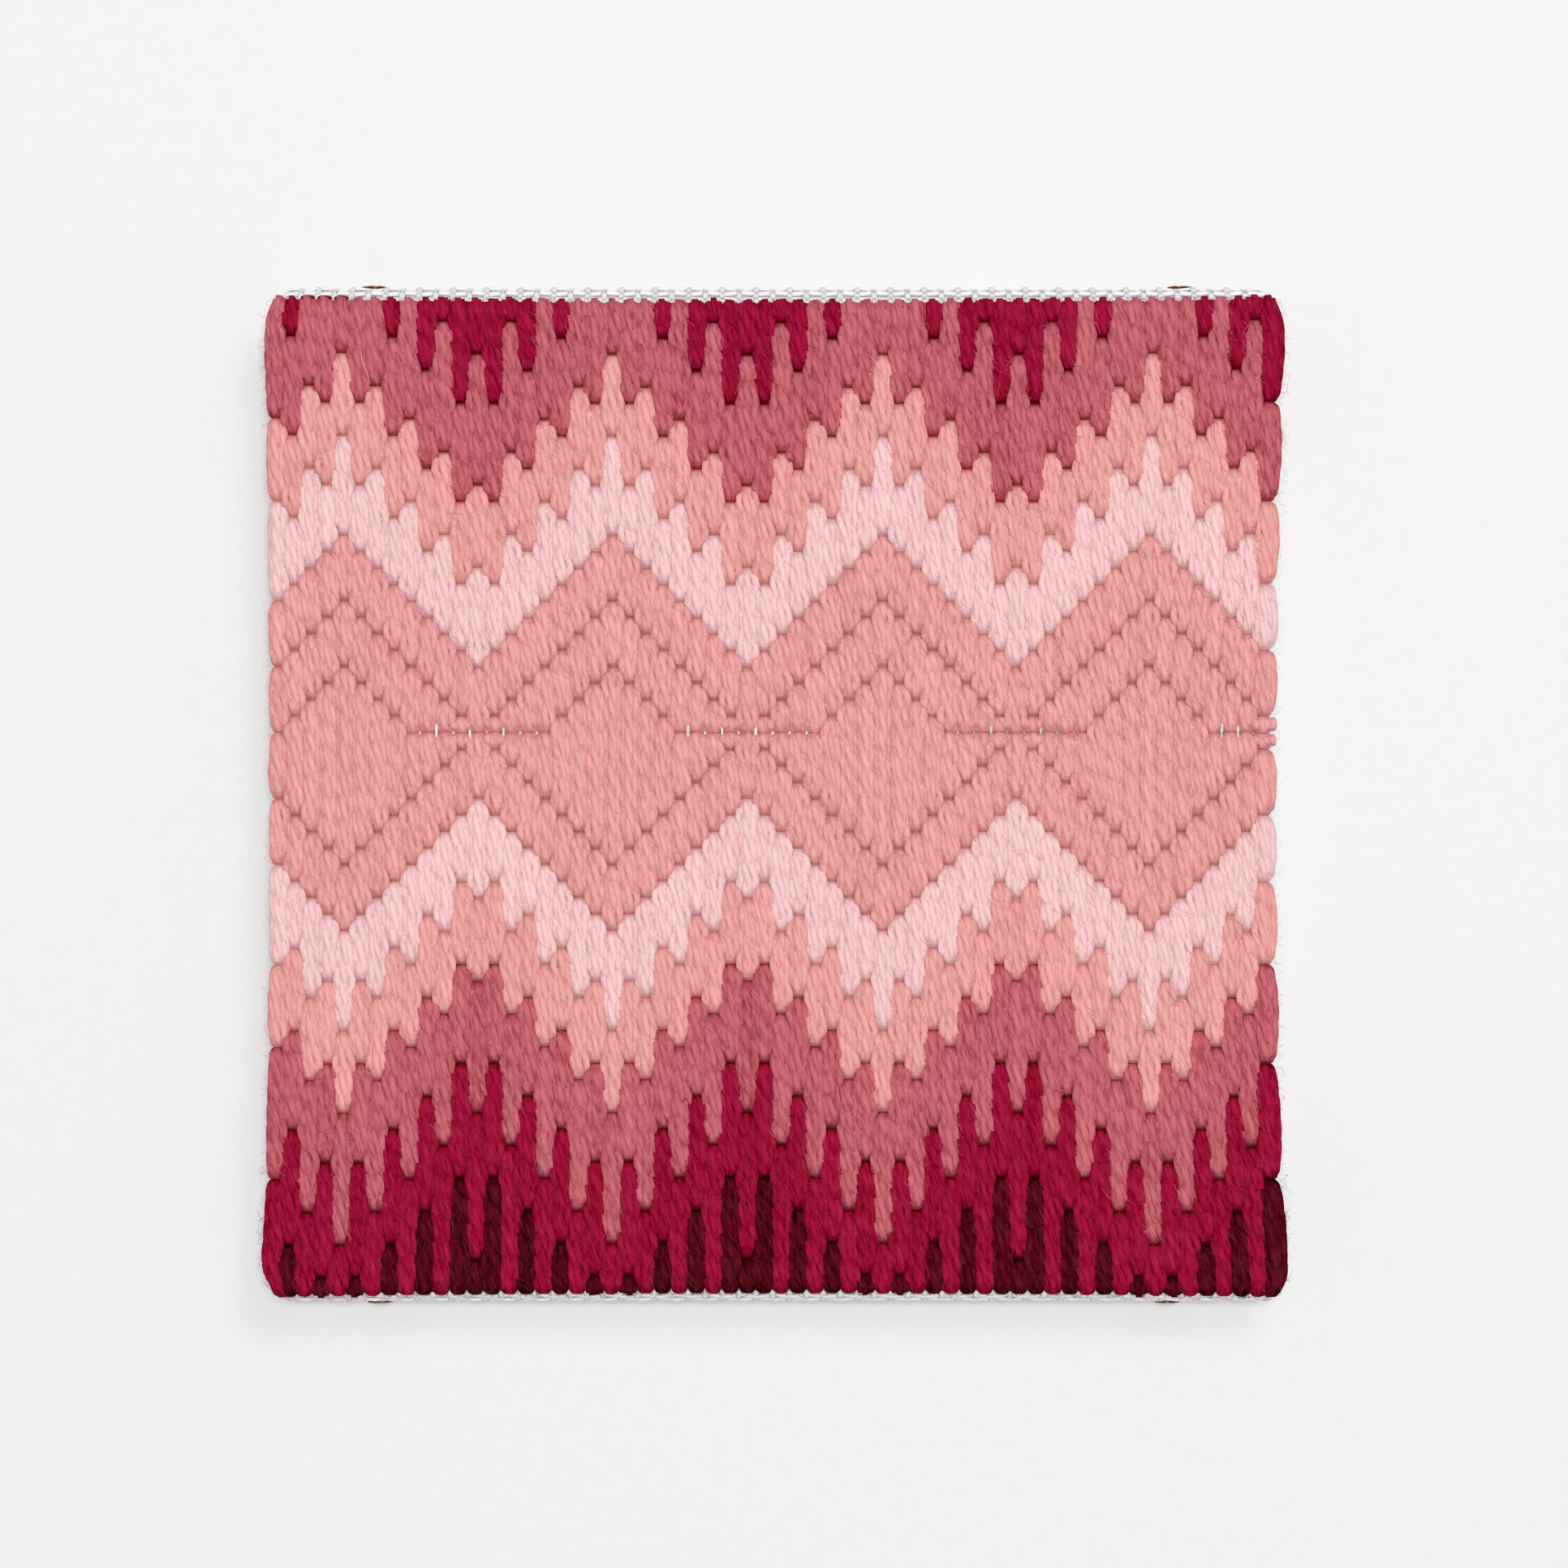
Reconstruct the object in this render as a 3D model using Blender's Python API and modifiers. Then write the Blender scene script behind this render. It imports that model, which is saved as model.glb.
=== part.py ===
"""Needlepoint canvas panel on a mounting board.

A square of ten-threads-an-inch canvas, worked all over in upright wool stitches, is drawn
over a wooden board. The bare canvas goes down the sloped upper and lower edges, turns under
the back as a margin, and is held by two tacks in each of those edges. The panel lies on its
back: +Z leaves the stitched face, +Y is the pattern's top, and the origin is on the floor
under the middle. Units are metres.
"""

import math

import bmesh
import bpy

MM = 0.001
CLEARANCE = 0.3 * MM  # between pieces that touch

# The board
BOARD_WIDTH = 147.0 * MM
BOARD_LENGTH = 151.0 * MM
BOARD_THICKNESS = 10.0 * MM
UPPER_REACH = 2.3 * MM  # how far the sloped upper edge stands out past the front face
LOWER_REACH = 1.25 * MM  # and the lower one
SLOPE_DEPTH = 4.3 * MM  # how far down the board the slopes go
BOARD_CORNER = 1.6 * MM
CORNER_STEPS = 3

# The canvas
CANVAS_THICKNESS = 1.0 * MM
MARGIN_WIDTH = 18.0 * MM  # turned under the back
CANVAS_OFFSET = CLEARANCE + CANVAS_THICKNESS  # the canvas's outer face from the board

# The stitched field
COLUMNS = 60
ROWS = 60  # canvas threads that the stitches climb
COLUMN_PITCH = 2.54 * MM
FIELD_HALF_WIDTH = 76.55 * MM  # at the corners
FIELD_HALF_LENGTH = 74.6 * MM
FIELD_THICKNESS = 1.4 * MM
GROOVE_DEPTH = 0.4 * MM  # between two columns of stitches
SIDE_DRAW_IN = 1.15 * MM  # at the middle of the left and right sides
END_DRAW_IN = 0.6 * MM  # at the middle of the upper and lower ends
EDGE_PINCH = 0.5 * MM  # where two stitches of an outer column meet
EDGE_HEIGHT = 0.65 * MM  # of the field's outer edge above its underside
UNDERCUT = 0.5 * MM
END_TAPER = 1.1 * MM  # over which the field falls to its upper and lower ends
TAPER_DROP = 0.75 * MM
UPPER_CORNER_PULL = 1.3 * MM  # how far in the outermost stitches are drawn at the corners
LOWER_CORNER_PULL = 2.4 * MM
CORNER_WIDTH = 5.0 * MM  # of the field that the pull reaches
CORNER_LENGTH = 3.6 * MM
CORNER_ROWS = (0.9, 1.45)  # rows from each end that shape the rounded corners
COARSE_ROWS = (0, 8, 17, 26, 35, 44, 52, 60)
# Rows, counted from the top, where two stitches of the outer columns meet
LEFT_MEETINGS = (7, 12, 18, 22, 26, 30, 34, 40, 45, 53)
RIGHT_MEETINGS = (6, 12, 17, 21, 26, 31, 35, 40, 46, 53)

# The tacks: a name, the place along the edge, and the edge, +1 upper or -1 lower
TACKS = (
    ("tack_upper_left", -60.8 * MM, 1),
    ("tack_upper_right", 61.3 * MM, 1),
    ("tack_lower_left", -59.9 * MM, -1),
    ("tack_lower_right", 59.4 * MM, -1),
)
TACK_HEIGHT = 4.8 * MM
HEAD_SINK = 0.3 * MM  # of the head into the canvas that it presses
HEAD_RADIUS = 1.9 * MM
HEAD_RIM = 0.12 * MM
HEAD_CROWN = 0.30 * MM
SHANK_RADIUS = 0.6 * MM
SHANK_LENGTH = 7.0 * MM
SHANK_POINT = 1.5 * MM
TACK_STEPS = 20
HOLE_STEPS = 12

# Heights
BOARD_BACK = CANVAS_OFFSET
BOARD_FRONT = BOARD_BACK + BOARD_THICKNESS
CANVAS_FRONT = BOARD_FRONT + CANVAS_OFFSET
FIELD_BACK = CANVAS_FRONT + CLEARANCE
FIELD_FRONT = FIELD_BACK + FIELD_THICKNESS


def clear_scene():
    for item in list(bpy.data.objects):
        bpy.data.objects.remove(item, do_unlink=True)


def new_collection(name):
    collection = bpy.data.collections.new(name)
    bpy.context.scene.collection.children.link(collection)
    return collection


def material(name, color, roughness, metallic=0.0):
    made = bpy.data.materials.new(name)
    made.use_nodes = True
    shader = made.node_tree.nodes["Principled BSDF"]
    shader.inputs["Base Color"].default_value = (*color, 1.0)
    shader.inputs["Roughness"].default_value = roughness
    shader.inputs["Metallic"].default_value = metallic
    return made


def mesh_object(name, bm, collection, look=None):
    mesh = bpy.data.meshes.new(name)
    bmesh.ops.recalc_face_normals(bm, faces=bm.faces)
    bm.to_mesh(mesh)
    bm.free()
    if look:
        mesh.materials.append(look)
    made = bpy.data.objects.new(name, mesh)
    collection.objects.link(made)
    return made


def sloped_edge(offset, reach):
    """An upper or lower edge as (distance from the middle, height), from the back up."""
    slope_length = math.hypot(reach, SLOPE_DEPTH)
    outward = SLOPE_DEPTH / slope_length
    upward = reach / slope_length
    side = BOARD_LENGTH / 2 + offset
    slope_foot = BOARD_FRONT - SLOPE_DEPTH + offset * (1 - outward) / upward
    front_side = BOARD_LENGTH / 2 - reach + offset * (1 - upward) / outward
    return ((side, BOARD_BACK - offset), (side, slope_foot), (front_side, BOARD_FRONT + offset))


def board_form(offset):
    """The board's form grown by an offset on every side, as a bmesh."""
    upper = sloped_edge(offset, UPPER_REACH)
    lower = sloped_edge(offset, LOWER_REACH)
    outline = [*upper, *((-y, z) for y, z in reversed(lower))]
    half_width = BOARD_WIDTH / 2 + offset
    bm = bmesh.new()
    end = bm.faces.new([bm.verts.new((-half_width, y, z)) for y, z in outline])
    grown = bmesh.ops.extrude_face_region(bm, geom=[end])["geom"]
    moved = [item for item in grown if isinstance(item, bmesh.types.BMVert)]
    bmesh.ops.translate(bm, verts=moved, vec=(2 * half_width, 0, 0))
    bm.normal_update()
    corners = [
        edge
        for edge in bm.edges
        if abs(edge.verts[0].co.x - edge.verts[1].co.x) < CLEARANCE
        and abs(edge.verts[0].co.z - edge.verts[1].co.z) > CLEARANCE
    ]
    bmesh.ops.bevel(
        bm,
        geom=corners,
        offset=BOARD_CORNER + offset,
        segments=CORNER_STEPS,
        profile=0.5,
        affect="EDGES",
    )
    return bm


def round_cutters(collection, label, radius, depth, steps):
    """A round hole for each tack, this deep from the canvas's outer face."""
    cutters = []
    for name, x, edge in TACKS:
        bpy.ops.mesh.primitive_cylinder_add(
            vertices=steps,
            radius=radius + CLEARANCE,
            depth=2 * depth,
            location=(x, edge * (BOARD_LENGTH / 2 + CANVAS_OFFSET), TACK_HEIGHT),
            rotation=(math.radians(90), 0, 0),
        )
        cutter = bpy.context.object
        cutter.name = f"{label}_{name}"
        cutter.hide_render = True
        cutter.display_type = "WIRE"
        for owner in list(cutter.users_collection):
            owner.objects.unlink(cutter)
        collection.objects.link(cutter)
        cutters.append(cutter)
    return cutters


def cut_away(target, cutters):
    for cutter in cutters:
        cut = target.modifiers.new(cutter.name, "BOOLEAN")
        cut.operation = "DIFFERENCE"
        cut.solver = "EXACT"
        cut.object = cutter


def make_board(collection, cutters):
    look = material("primed_board", (0.80, 0.79, 0.77), 0.7)
    board = mesh_object("mounting_board", board_form(0.0), collection, look)
    cut_away(board, cutters)
    return board


def canvas_cutters(collection):
    """The hollow that the board fills, and the opening in the back inside the margin."""
    hollow = mesh_object("canvas_hollow", board_form(CLEARANCE), collection)
    window_width = BOARD_WIDTH + 2 * (CANVAS_OFFSET - MARGIN_WIDTH)
    window_length = BOARD_LENGTH + 2 * (CANVAS_OFFSET - MARGIN_WIDTH)
    bpy.ops.mesh.primitive_cube_add(size=1.0)
    window = bpy.context.object
    window.name = "canvas_window"
    window.scale = (window_width, window_length, BOARD_THICKNESS)
    for owner in list(window.users_collection):
        owner.objects.unlink(window)
    collection.objects.link(window)
    for cutter in (hollow, window):
        cutter.hide_render = True
        cutter.display_type = "WIRE"
    return [hollow, window]


def make_canvas(collection, cutters):
    """The board's form grown to the canvas's outer face, hollow, and open inside the margin."""
    look = material("cotton_canvas", (0.90, 0.87, 0.88), 0.85)
    canvas = mesh_object("canvas", board_form(CANVAS_OFFSET), collection, look)
    cut_away(canvas, cutters)
    return canvas


def drawn_in(x, y):
    """Where a point of the square field lies once the pull of the sides has drawn them in."""
    across = x / FIELD_HALF_WIDTH
    along = y / FIELD_HALF_LENGTH
    new_x = x - math.copysign(SIDE_DRAW_IN * across**2 * (1 - along**2), x)
    new_y = y - math.copysign(END_DRAW_IN * along**2 * (1 - across**2), y)
    return new_x, new_y


def row_place(row):
    return FIELD_HALF_LENGTH * (1 - 2 * row / ROWS)


def corner_pull(x, y):
    """How far towards the middle a point near a corner of the field is drawn."""
    most = UPPER_CORNER_PULL if y > 0 else LOWER_CORNER_PULL
    across = max(0.0, 1 - (FIELD_HALF_WIDTH - abs(x)) / CORNER_WIDTH)
    along = max(0.0, 1 - (FIELD_HALF_LENGTH - abs(y)) / CORNER_LENGTH)
    rounding = 1 - math.sqrt(1 - along**2)
    return math.copysign(most * across**1.3 * rounding, x)


def pinch(row, meetings):
    """How far an outer column's edge draws in at a row, most where two stitches meet."""
    stops = (0, *meetings, ROWS)
    for above, below in zip(stops, stops[1:]):
        if above <= row <= below:
            share = (row - above) / (below - above)
            return EDGE_PINCH * (1 - math.sin(math.pi * share) ** 0.7)
    return 0.0


def edge_rows(meetings):
    """The rows of an outer edge: the coarse ones, the meetings, and between two meetings."""
    stops = (0, *meetings, ROWS)
    middles = [(above + below) / 2 for above, below in zip(stops, stops[1:])]
    return sorted({*stops, *middles})


def end_rise(y):
    """How much of the field's height is left near its upper and lower ends."""
    inside = FIELD_HALF_LENGTH - abs(y)
    return -TAPER_DROP * (1 - min(inside / END_TAPER, 1.0)) ** 2


def field_lines():
    """The lines along the field as (x, height), from the first inner groove to the last."""
    lines = []
    start = -COLUMNS / 2 * COLUMN_PITCH
    for column in range(COLUMNS):
        lines.append((start + (column + 0.5) * COLUMN_PITCH, FIELD_FRONT))
        lines.append((start + (column + 1) * COLUMN_PITCH, FIELD_FRONT - GROOVE_DEPTH))
    return lines[:-1]


def make_field(collection):
    """The worked wool as one sheet, ribbed by its columns, with the outer edges scalloped."""
    look = material("dyed_wool", (0.80, 0.33, 0.34), 0.9)
    bm = bmesh.new()
    near_ends = (END_TAPER / (2 * FIELD_HALF_LENGTH) * ROWS, *CORNER_ROWS)
    rows = sorted({*COARSE_ROWS, *near_ends, *(ROWS - row for row in near_ends)})

    def point(x, row, height, underside=False):
        y = row_place(row)
        new_x, new_y = drawn_in(x - corner_pull(x, y), y)
        return bm.verts.new((new_x, new_y, height if underside else height + end_rise(y)))

    grid = [[point(x, row, height) for row in rows] for x, height in field_lines()]
    for left, right in zip(grid, grid[1:]):
        for i in range(len(rows) - 1):
            bm.faces.new((left[i], left[i + 1], right[i + 1], right[i]))

    rims = []
    for side, meetings, crest in ((-1, LEFT_MEETINGS, grid[0]), (1, RIGHT_MEETINGS, grid[-1])):
        fine = sorted({*edge_rows(meetings), *rows})
        rim = [
            point(
                side * (FIELD_HALF_WIDTH - pinch(row, meetings)),
                row,
                FIELD_BACK + EDGE_HEIGHT,
                underside=True,
            )
            for row in fine
        ]
        foot = [
            point(
                side * (FIELD_HALF_WIDTH - UNDERCUT - pinch(row, meetings)),
                row,
                FIELD_BACK,
                underside=True,
            )
            for row in fine
        ]
        for i in range(len(rows) - 1):
            first = fine.index(rows[i])
            last = fine.index(rows[i + 1])
            bm.faces.new([crest[i], *rim[first : last + 1], crest[i + 1]])
        for i in range(len(fine) - 1):
            bm.faces.new((rim[i], rim[i + 1], foot[i + 1], foot[i]))
        rims.append((rim, foot))

    (left_rim, left_foot), (right_rim, right_foot) = rims
    base = []
    for end, row in ((0, 0), (-1, ROWS)):
        top = [left_rim[end], *[line[end] for line in grid], right_rim[end]]
        under = [point(x, row, FIELD_BACK, underside=True) for x, _ in field_lines()]
        under = [left_foot[end], *under, right_foot[end]]
        for i in range(len(top) - 1):
            bm.faces.new((top[i], top[i + 1], under[i + 1], under[i]))
        base.append(under)
    upper, lower = base
    bm.faces.new([*upper, *right_foot[1:-1], *reversed(lower), *reversed(left_foot[1:-1])])
    bmesh.ops.triangulate(bm, faces=bm.faces)
    field = mesh_object("wool_stitches", bm, collection, look)
    field.data.shade_smooth()
    field.data.set_sharp_from_angle(angle=math.radians(40))
    return field


def make_tack(name, x, edge, collection, look):
    """A domed head and a pointed shank, turned about the tack's own axis."""
    profile = (
        (0.0, HEAD_CROWN),
        (HEAD_RADIUS * 0.6, HEAD_CROWN * 0.85),
        (HEAD_RADIUS, HEAD_RIM),
        (HEAD_RADIUS, 0.0),
        (SHANK_RADIUS, 0.0),
        (SHANK_RADIUS, SHANK_POINT - SHANK_LENGTH),
        (0.0, -SHANK_LENGTH),
    )
    mesh = bpy.data.meshes.new(name)
    edges = [(i, i + 1) for i in range(len(profile) - 1)]
    mesh.from_pydata([(radius, 0.0, height) for radius, height in profile], edges, [])
    mesh.materials.append(look)
    tack = bpy.data.objects.new(name, mesh)
    collection.objects.link(tack)
    turned = tack.modifiers.new("turned", "SCREW")
    turned.steps = TACK_STEPS
    turned.render_steps = TACK_STEPS
    turned.use_merge_vertices = True
    turned.merge_threshold = 0.01 * MM
    turned.use_smooth_shade = True
    seat = BOARD_LENGTH / 2 + CANVAS_OFFSET - HEAD_SINK + CLEARANCE
    tack.location = (x, edge * seat, TACK_HEIGHT)
    tack.rotation_euler = (math.radians(-90 * edge), 0, 0)
    return tack


def main():
    clear_scene()
    parts = new_collection("needlepoint_panel")
    cutting = new_collection("cutters")
    holes = round_cutters(cutting, "hole_for", SHANK_RADIUS, SHANK_LENGTH + CANVAS_OFFSET, HOLE_STEPS)
    seats = round_cutters(cutting, "seat_for", HEAD_RADIUS, HEAD_SINK, TACK_STEPS)
    make_board(parts, holes)
    make_canvas(parts, [*canvas_cutters(cutting), *holes, *seats])
    make_field(parts)
    copper = material("coppered_steel", (0.30, 0.13, 0.08), 0.4, metallic=1.0)
    for name, x, edge in TACKS:
        make_tack(name, x, edge, parts, copper)


main()
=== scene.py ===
"""Needlepoint canvas panel: the wool, canvas, tacks, floor, light and camera.

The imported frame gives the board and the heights. The stitches are separate strands of
two-ply wool, three to a stitch, laid over the rows of a plain-woven canvas whose threads
are modelled one by one. +Z leaves the stitched face and +Y is the pattern's top.
"""

import math

import bpy
import numpy as np
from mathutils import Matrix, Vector


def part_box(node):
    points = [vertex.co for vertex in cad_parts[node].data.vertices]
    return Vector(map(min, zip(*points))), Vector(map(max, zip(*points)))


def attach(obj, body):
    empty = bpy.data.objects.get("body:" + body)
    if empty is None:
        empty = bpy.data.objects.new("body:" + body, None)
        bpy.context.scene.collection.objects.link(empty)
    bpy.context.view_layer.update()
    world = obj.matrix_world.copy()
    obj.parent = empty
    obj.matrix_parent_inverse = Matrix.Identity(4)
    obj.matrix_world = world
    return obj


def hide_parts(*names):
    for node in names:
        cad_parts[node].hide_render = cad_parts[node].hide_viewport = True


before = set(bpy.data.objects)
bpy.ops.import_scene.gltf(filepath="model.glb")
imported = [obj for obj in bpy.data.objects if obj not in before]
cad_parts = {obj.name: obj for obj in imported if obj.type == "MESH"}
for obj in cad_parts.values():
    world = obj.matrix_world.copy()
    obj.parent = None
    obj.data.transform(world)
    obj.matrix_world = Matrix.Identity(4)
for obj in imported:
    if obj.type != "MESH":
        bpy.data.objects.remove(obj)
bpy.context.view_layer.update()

MM = 0.001
BODY = "root"

# Heights and places taken from the frame
_, BOARD_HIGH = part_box("mounting_board")
CANVAS_LOW, CANVAS_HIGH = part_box("canvas")

# The grid of the canvas
COLUMN_PITCH = 2.54 * MM
ROW_PITCH = 2.482 * MM
COLUMNS = 60
ROWS = 60
COLUMN_SHIFT = -0.39 * MM  # of the stitched field along X
FIRST_ROW = 73.82 * MM  # the path from the middle to the upper row of holes

# The canvas
CANVAS_INSET = 0.42 * MM  # the threads' middle from the canvas's outer face
UPRIGHT_HALF_WIDTH = 0.50 * MM  # of the threads along Y and down the sides
LEVEL_HALF_WIDTH = 0.64 * MM
THREAD_HALF_HEIGHT = 0.28 * MM
THREAD_RISE = 0.13 * MM
THREAD_TONES = 0.6  # how much one thread differs from the next
MARGIN = 17.5 * MM
MARGIN_RAGGEDNESS = 0.5 * MM  # how much earlier than the others a thread may end there
LEAST_MARGIN = 0.4 * MM  # what the mitre leaves of it at the very corner
FOLD_RADIUS = 1.3 * MM
WALL_CORNER = 1.3 * MM
MARGIN_CORNER = 0.6 * MM
CORNER_STEPS = (0.25, 0.5, 0.75)
WALL_LOOPS = 12  # threads that run round the walls and the margin
ROWS_BEYOND = 13  # rows of canvas past the stitched field, round to the margin's edge
ROWS_OVER_EDGE = 7  # of these, the ones that go over the edge and down the wall
ROWS_UNDER_EDGE = 2  # stitched rows at each edge whose weave is drawn in full
ROWS_HIDDEN = 3.0  # from one crossing to the next under the wool

# The threads along Y rise between the stitches that meet in the middle row, where a few show
MID_ROW = 26
MID_PLACES = (25.6, 26.0, 26.4)
SPECK_REACH = 0.6  # rows to each side of the middle row
SPECK_RISE = (0.85 * MM, 1.10 * MM)
SPECK_SHARE = 0.35  # of the threads rise so far
LOW_SPECK = 0.45  # the others' share of the rise
SPECK_NARROWING = 0.5  # the share of its width that a thread loses there

# The board's slopes, which the canvas follows
UPPER_REACH = 2.3 * MM
LOWER_REACH = 1.25 * MM
SLOPE_DEPTH = 4.3 * MM

# How the pull of the mounting draws the field in
FIELD_HALF_WIDTH = 76.55 * MM
FIELD_HALF_LENGTH = 74.6 * MM
LEFT_DRAW_IN = 0.85 * MM
RIGHT_DRAW_IN = 1.60 * MM
LOWER_FLARE = 0.6 * MM  # how far the sides stand out again towards the lower corners
LOWER_FLARE_POWER = 6  # the higher, the nearer to the corners it stays
END_DRAW_IN = 0.6 * MM  # of the upper and lower edges' middles
CORNER_WIDTH = 5.0 * MM
CORNER_POWER = 1.3
UPPER_END_OF_WOOL = 74.6 * MM
LOWER_END_OF_WOOL = 75.5 * MM
# Each corner, by the signs of its x and y: how far it is pulled in at most, over what length
CORNERS = {
    (-1, 1): (2.9 * MM, 5.4 * MM),
    (1, 1): (2.7 * MM, 5.4 * MM),
    (-1, -1): (6.2 * MM, 5.8 * MM),
    (1, -1): (3.8 * MM, 4.4 * MM),
}

# The wool
STRAND_SPACING = 0.85 * MM
STRAND_LEVEL = 1.32 * MM  # of a strand's middle above the canvas's middle
STRAND_HEIGHT = 0.54 * MM  # of a strand's top above its middle
SIDE_STRAND_DROP = 0.07 * MM
STRAND_UNEVENNESS = 0.05 * MM  # of the strands' heights
# In the outer columns the strand at the side is another one, and more hang over the side: the
# offset and the lift of each
LEFT_STRAND = (-0.76 * MM, -0.22 * MM)
LEFT_HANGING = ((-0.94 * MM, -0.80 * MM),)
RIGHT_STRAND = (0.78 * MM, -0.02 * MM)
RIGHT_HANGING = ((1.62 * MM, -0.35 * MM), (1.70 * MM, -0.95 * MM))
HANGING_SPREAD = 0.55  # the share of its offset that such a strand has at its ends
HANGING_FULLNESS = 0.7  # the power to which the rest of it swells; less is fuller
LONG_STITCH = 16  # rows, from which a stitch counts as long
LONG_STITCH_DROP = 0.13 * MM  # how much lower the side strands of long stitches lie
PLY_REACH = 0.36 * MM  # of a ply's middle from its strand's, across
OUTWARD_REACH = 0.30  # the share of it that is left towards the next column
PLY_LIFT = 0.26 * MM  # the same, up
PLY_HALF_WIDTH = 0.67 * MM
PLY_HALF_HEIGHT = 0.40 * MM
SIZE_UNEVENNESS = 0.05
ENDS_APART = 0.3  # the share of the reach and the lift that is left at a stitch's ends
PLY_SHADE = 0.9  # the painted shade on a ply where it goes under the other, deep in the work
TWIST_LENGTH = 7.0 * MM  # for a full turn of the two plies
TWIST_UNEVENNESS = 0.06
SAMPLES_PER_ROW = 2.7
WANDER = 0.06 * MM  # how far a strand strays sideways
LEVEL_WANDER = 0.4 * WANDER  # and up and down
FEWEST_KNOTS = 3  # of that straying, in a short stitch
# How much one stitch, one strand and one ply differ from the next
STITCH_TONES = 0.35
STRAND_TONES = 0.5
PLY_TONES = 0.5
HEAD_ROUNDING = 0.36 * MM  # how much lower a stitch's side strands start than its middle
TAIL_ROUNDING = 0.62 * MM  # how much earlier they end
EDGE_ROUNDING = 0.36 * MM  # the same where a stitch ends at the field's edge
EDGE_NARROWING = 0.5  # how much of an end's narrowing is left there
CROWDING = 0.43 * MM  # how far a strand swells into the room beside a neighbour's end
CROWDING_REACH = 1.15 * MM
UPPER_BULGE = 0.80 * MM  # how far a stitch swells over the edge where none is beyond it
LOWER_BULGE = 0.20 * MM
SHORT_BULGE = 0.6  # the share of it that the shortest stitches have at least
MID_BULGE = 0.12 * MM  # the same on both sides of the middle row, where stitches meet in a line
MID_WANDER = 0.16 * MM  # how far that line strays up and down
MID_WANDER_STEP = 2.1  # radians from a column to the next
MID_LIGHTNESS = 0.5  # how much less painted shade that line gets
BED_LEVEL = 0.72 * MM  # of the fibres that lie under a stitch's strands, on the canvas
BED_HALF_WIDTH = 2.05 * MM
BED_HALF_HEIGHT = 0.31 * MM
# painted shade along the bed, which lies deep under the strands
BED_SHADE_DEPTH = 0.8
BED_SHIFT = 0.35 * MM  # inwards, of the left column's, so that notches show at its side
EDGE_BARENESS = 0.4  # how far the bed leaves the canvas bare along the field's edges

# The wool's hairs
HAIRS_PER_ROW = 3.9
HAIR_RADIUS = 0.036 * MM
HAIR_THICKNESS = (0.7, 1.3)
# how far each hair's colour is lifted towards the wool's lightest stops: painted highlight, as
# loose hairs catch the light
HAIR_HIGHLIGHT_TONES = (1, 10)
HAIR_LENGTHS = (1.4 * MM, 4.2 * MM)
HAIR_LEAN = 17.0  # degrees from the stitch's direction
HAIR_SPREAD = 22.0
HAIR_BOW = 0.15  # of its length
HAIR_STRAY = 1.2 * MM  # of its middle, from the column's
HAIR_RISE = (0.02 * MM, 0.16 * MM)  # of its middle, from a level just under the strands' tops
HAIR_SINK = 0.10 * MM  # that level's depth
# How far inside a stitch's upper and lower ends a hair's middle stays, and the whole of it
MIDDLE_INSIDE = (0.6 * MM, 1.0 * MM)
HAIR_INSIDE = (0.2 * MM, 0.5 * MM)
CLAMPED_APART = 0.05 * MM  # keeps apart the points of a hair that its stitch's end cuts short

# The hairs that stand out past the field's outline, at its sides and then at its two ends
HALO_THICKNESS = (0.4, 0.7)
HALO_ROOTS = {0: (-1, 1.0 * MM), COLUMNS - 1: (1, 1.6 * MM)}  # each side's sign and distance
HALO_PER_MM = 1.8
HALO_REACH = (0.4 * MM, 1.6 * MM)
HALO_PROFILE = (0.0, 0.5, 0.8, 0.95, 1.0)  # how far out its points are, as shares of the reach
HALO_CURL = 0.9 * MM
HALO_BOW = 0.35 * MM
HALO_LEVEL = (0.1 * MM, 1.4 * MM)
HALO_RISE = 0.3 * MM
END_HAIRS = (4, 9)  # at each stitch: at least the first, and fewer than the second
END_ROOT = 0.5 * MM  # in from the edge
END_REACH = (0.5 * MM, 2.0 * MM)
END_STRAY = 1.0 * MM
END_CURL = 0.7 * MM
END_BOW = 0.3 * MM
END_LEVEL = (0.6 * MM, 1.3 * MM)
END_SINK = 0.3  # of the level, at the tip

# The pale fibre that lies across the stitches near the upper left corner
LOOSE_FIBRE = ((-62.2, 66.6), (-62.0, 65.0), (-61.3, 63.4), (-60.9, 61.6))  # mm
LOOSE_FIBRE_RISE = 0.05 * MM  # above the strands' tops
LOOSE_FIBRE_THICKNESS = 1.7

# The crimson wool that is carried behind the canvas from stitch to stitch
CARRIED_OVER = (2, 3, 4)  # columns
CARRIED_LEVEL = 0.75 * MM
CARRIED_IN = 0.10 * MM  # from the stitches' ends
CARRIED_BOW = 0.35 * MM
CARRIED_HALF_LENGTH = 0.90 * MM
CARRIED_HALF_WIDTH = 0.36 * MM
CARRIED_HALF_HEIGHT = 0.32 * MM

# Cross-sections: each side's share of the full radius, and how much painted shade it gets, as
# deep in a groove
PLY = ((1.0, 0.0), (1.0, 0.0), (1.0, 0.7), (1.0, 0.7))
FLAT_WOOL = ((1.0, 0.0),) * 4
SQUARE = math.pi / 4  # the twist that turns a section of four sides flat side up
ROUND_THREAD = ((1.0, 0.0),) * 5
HAIR = ((1.0, 0.0),) * 3

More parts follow.
